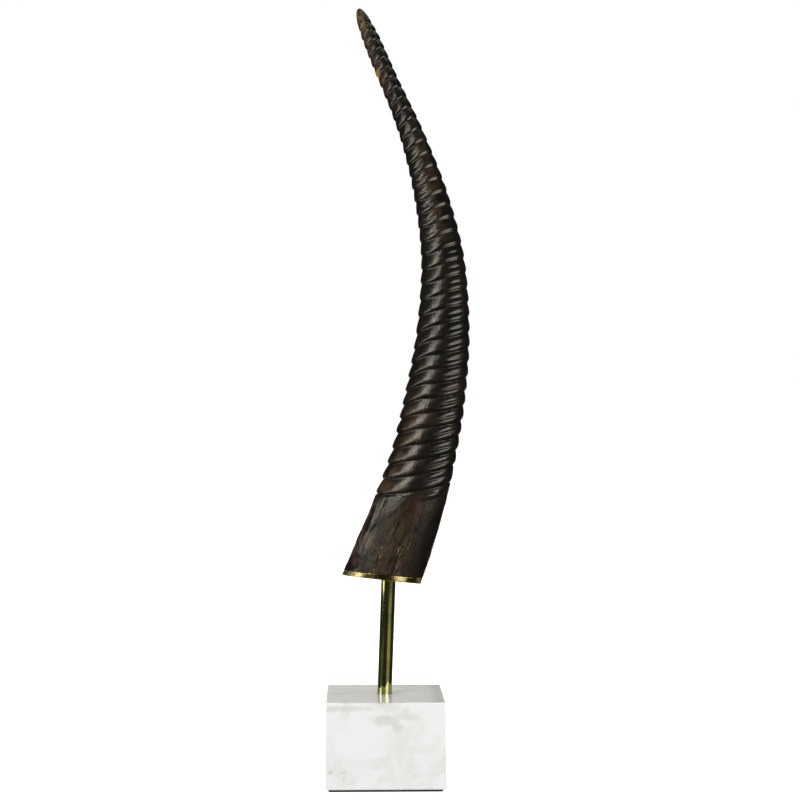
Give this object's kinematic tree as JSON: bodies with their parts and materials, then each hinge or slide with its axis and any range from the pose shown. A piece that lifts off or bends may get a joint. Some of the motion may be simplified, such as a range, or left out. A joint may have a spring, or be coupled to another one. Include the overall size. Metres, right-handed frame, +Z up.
{
  "type": "mounted horn",
  "caption": "Curved, ringed antelope horn on a brass plate and rod, standing in a white marble block with a thin dark foot pad.",
  "frame": {"origin": "centre of the underside of the foot pad, where the piece rests", "axes": "+Z up, +X to the right of a viewer in front, -Y towards that viewer"},
  "size_m": [0.1244, 0.102, 0.6867],
  "materials": {
    "horn": null,
    "brass_plate": "hand-filed polished brass with olive tarnish",
    "brass_rod": "polished brass, darkened to olive",
    "marble": "polished white marble with faint grey and beige clouds",
    "felt": "thin dark felt"
  },
  "bodies": {
    "root": {"horn": "horn", "base_plate": "brass_plate", "rod": "brass_rod", "marble_block": "marble", "foot_pad": "felt"}
  },
  "joints": []
}
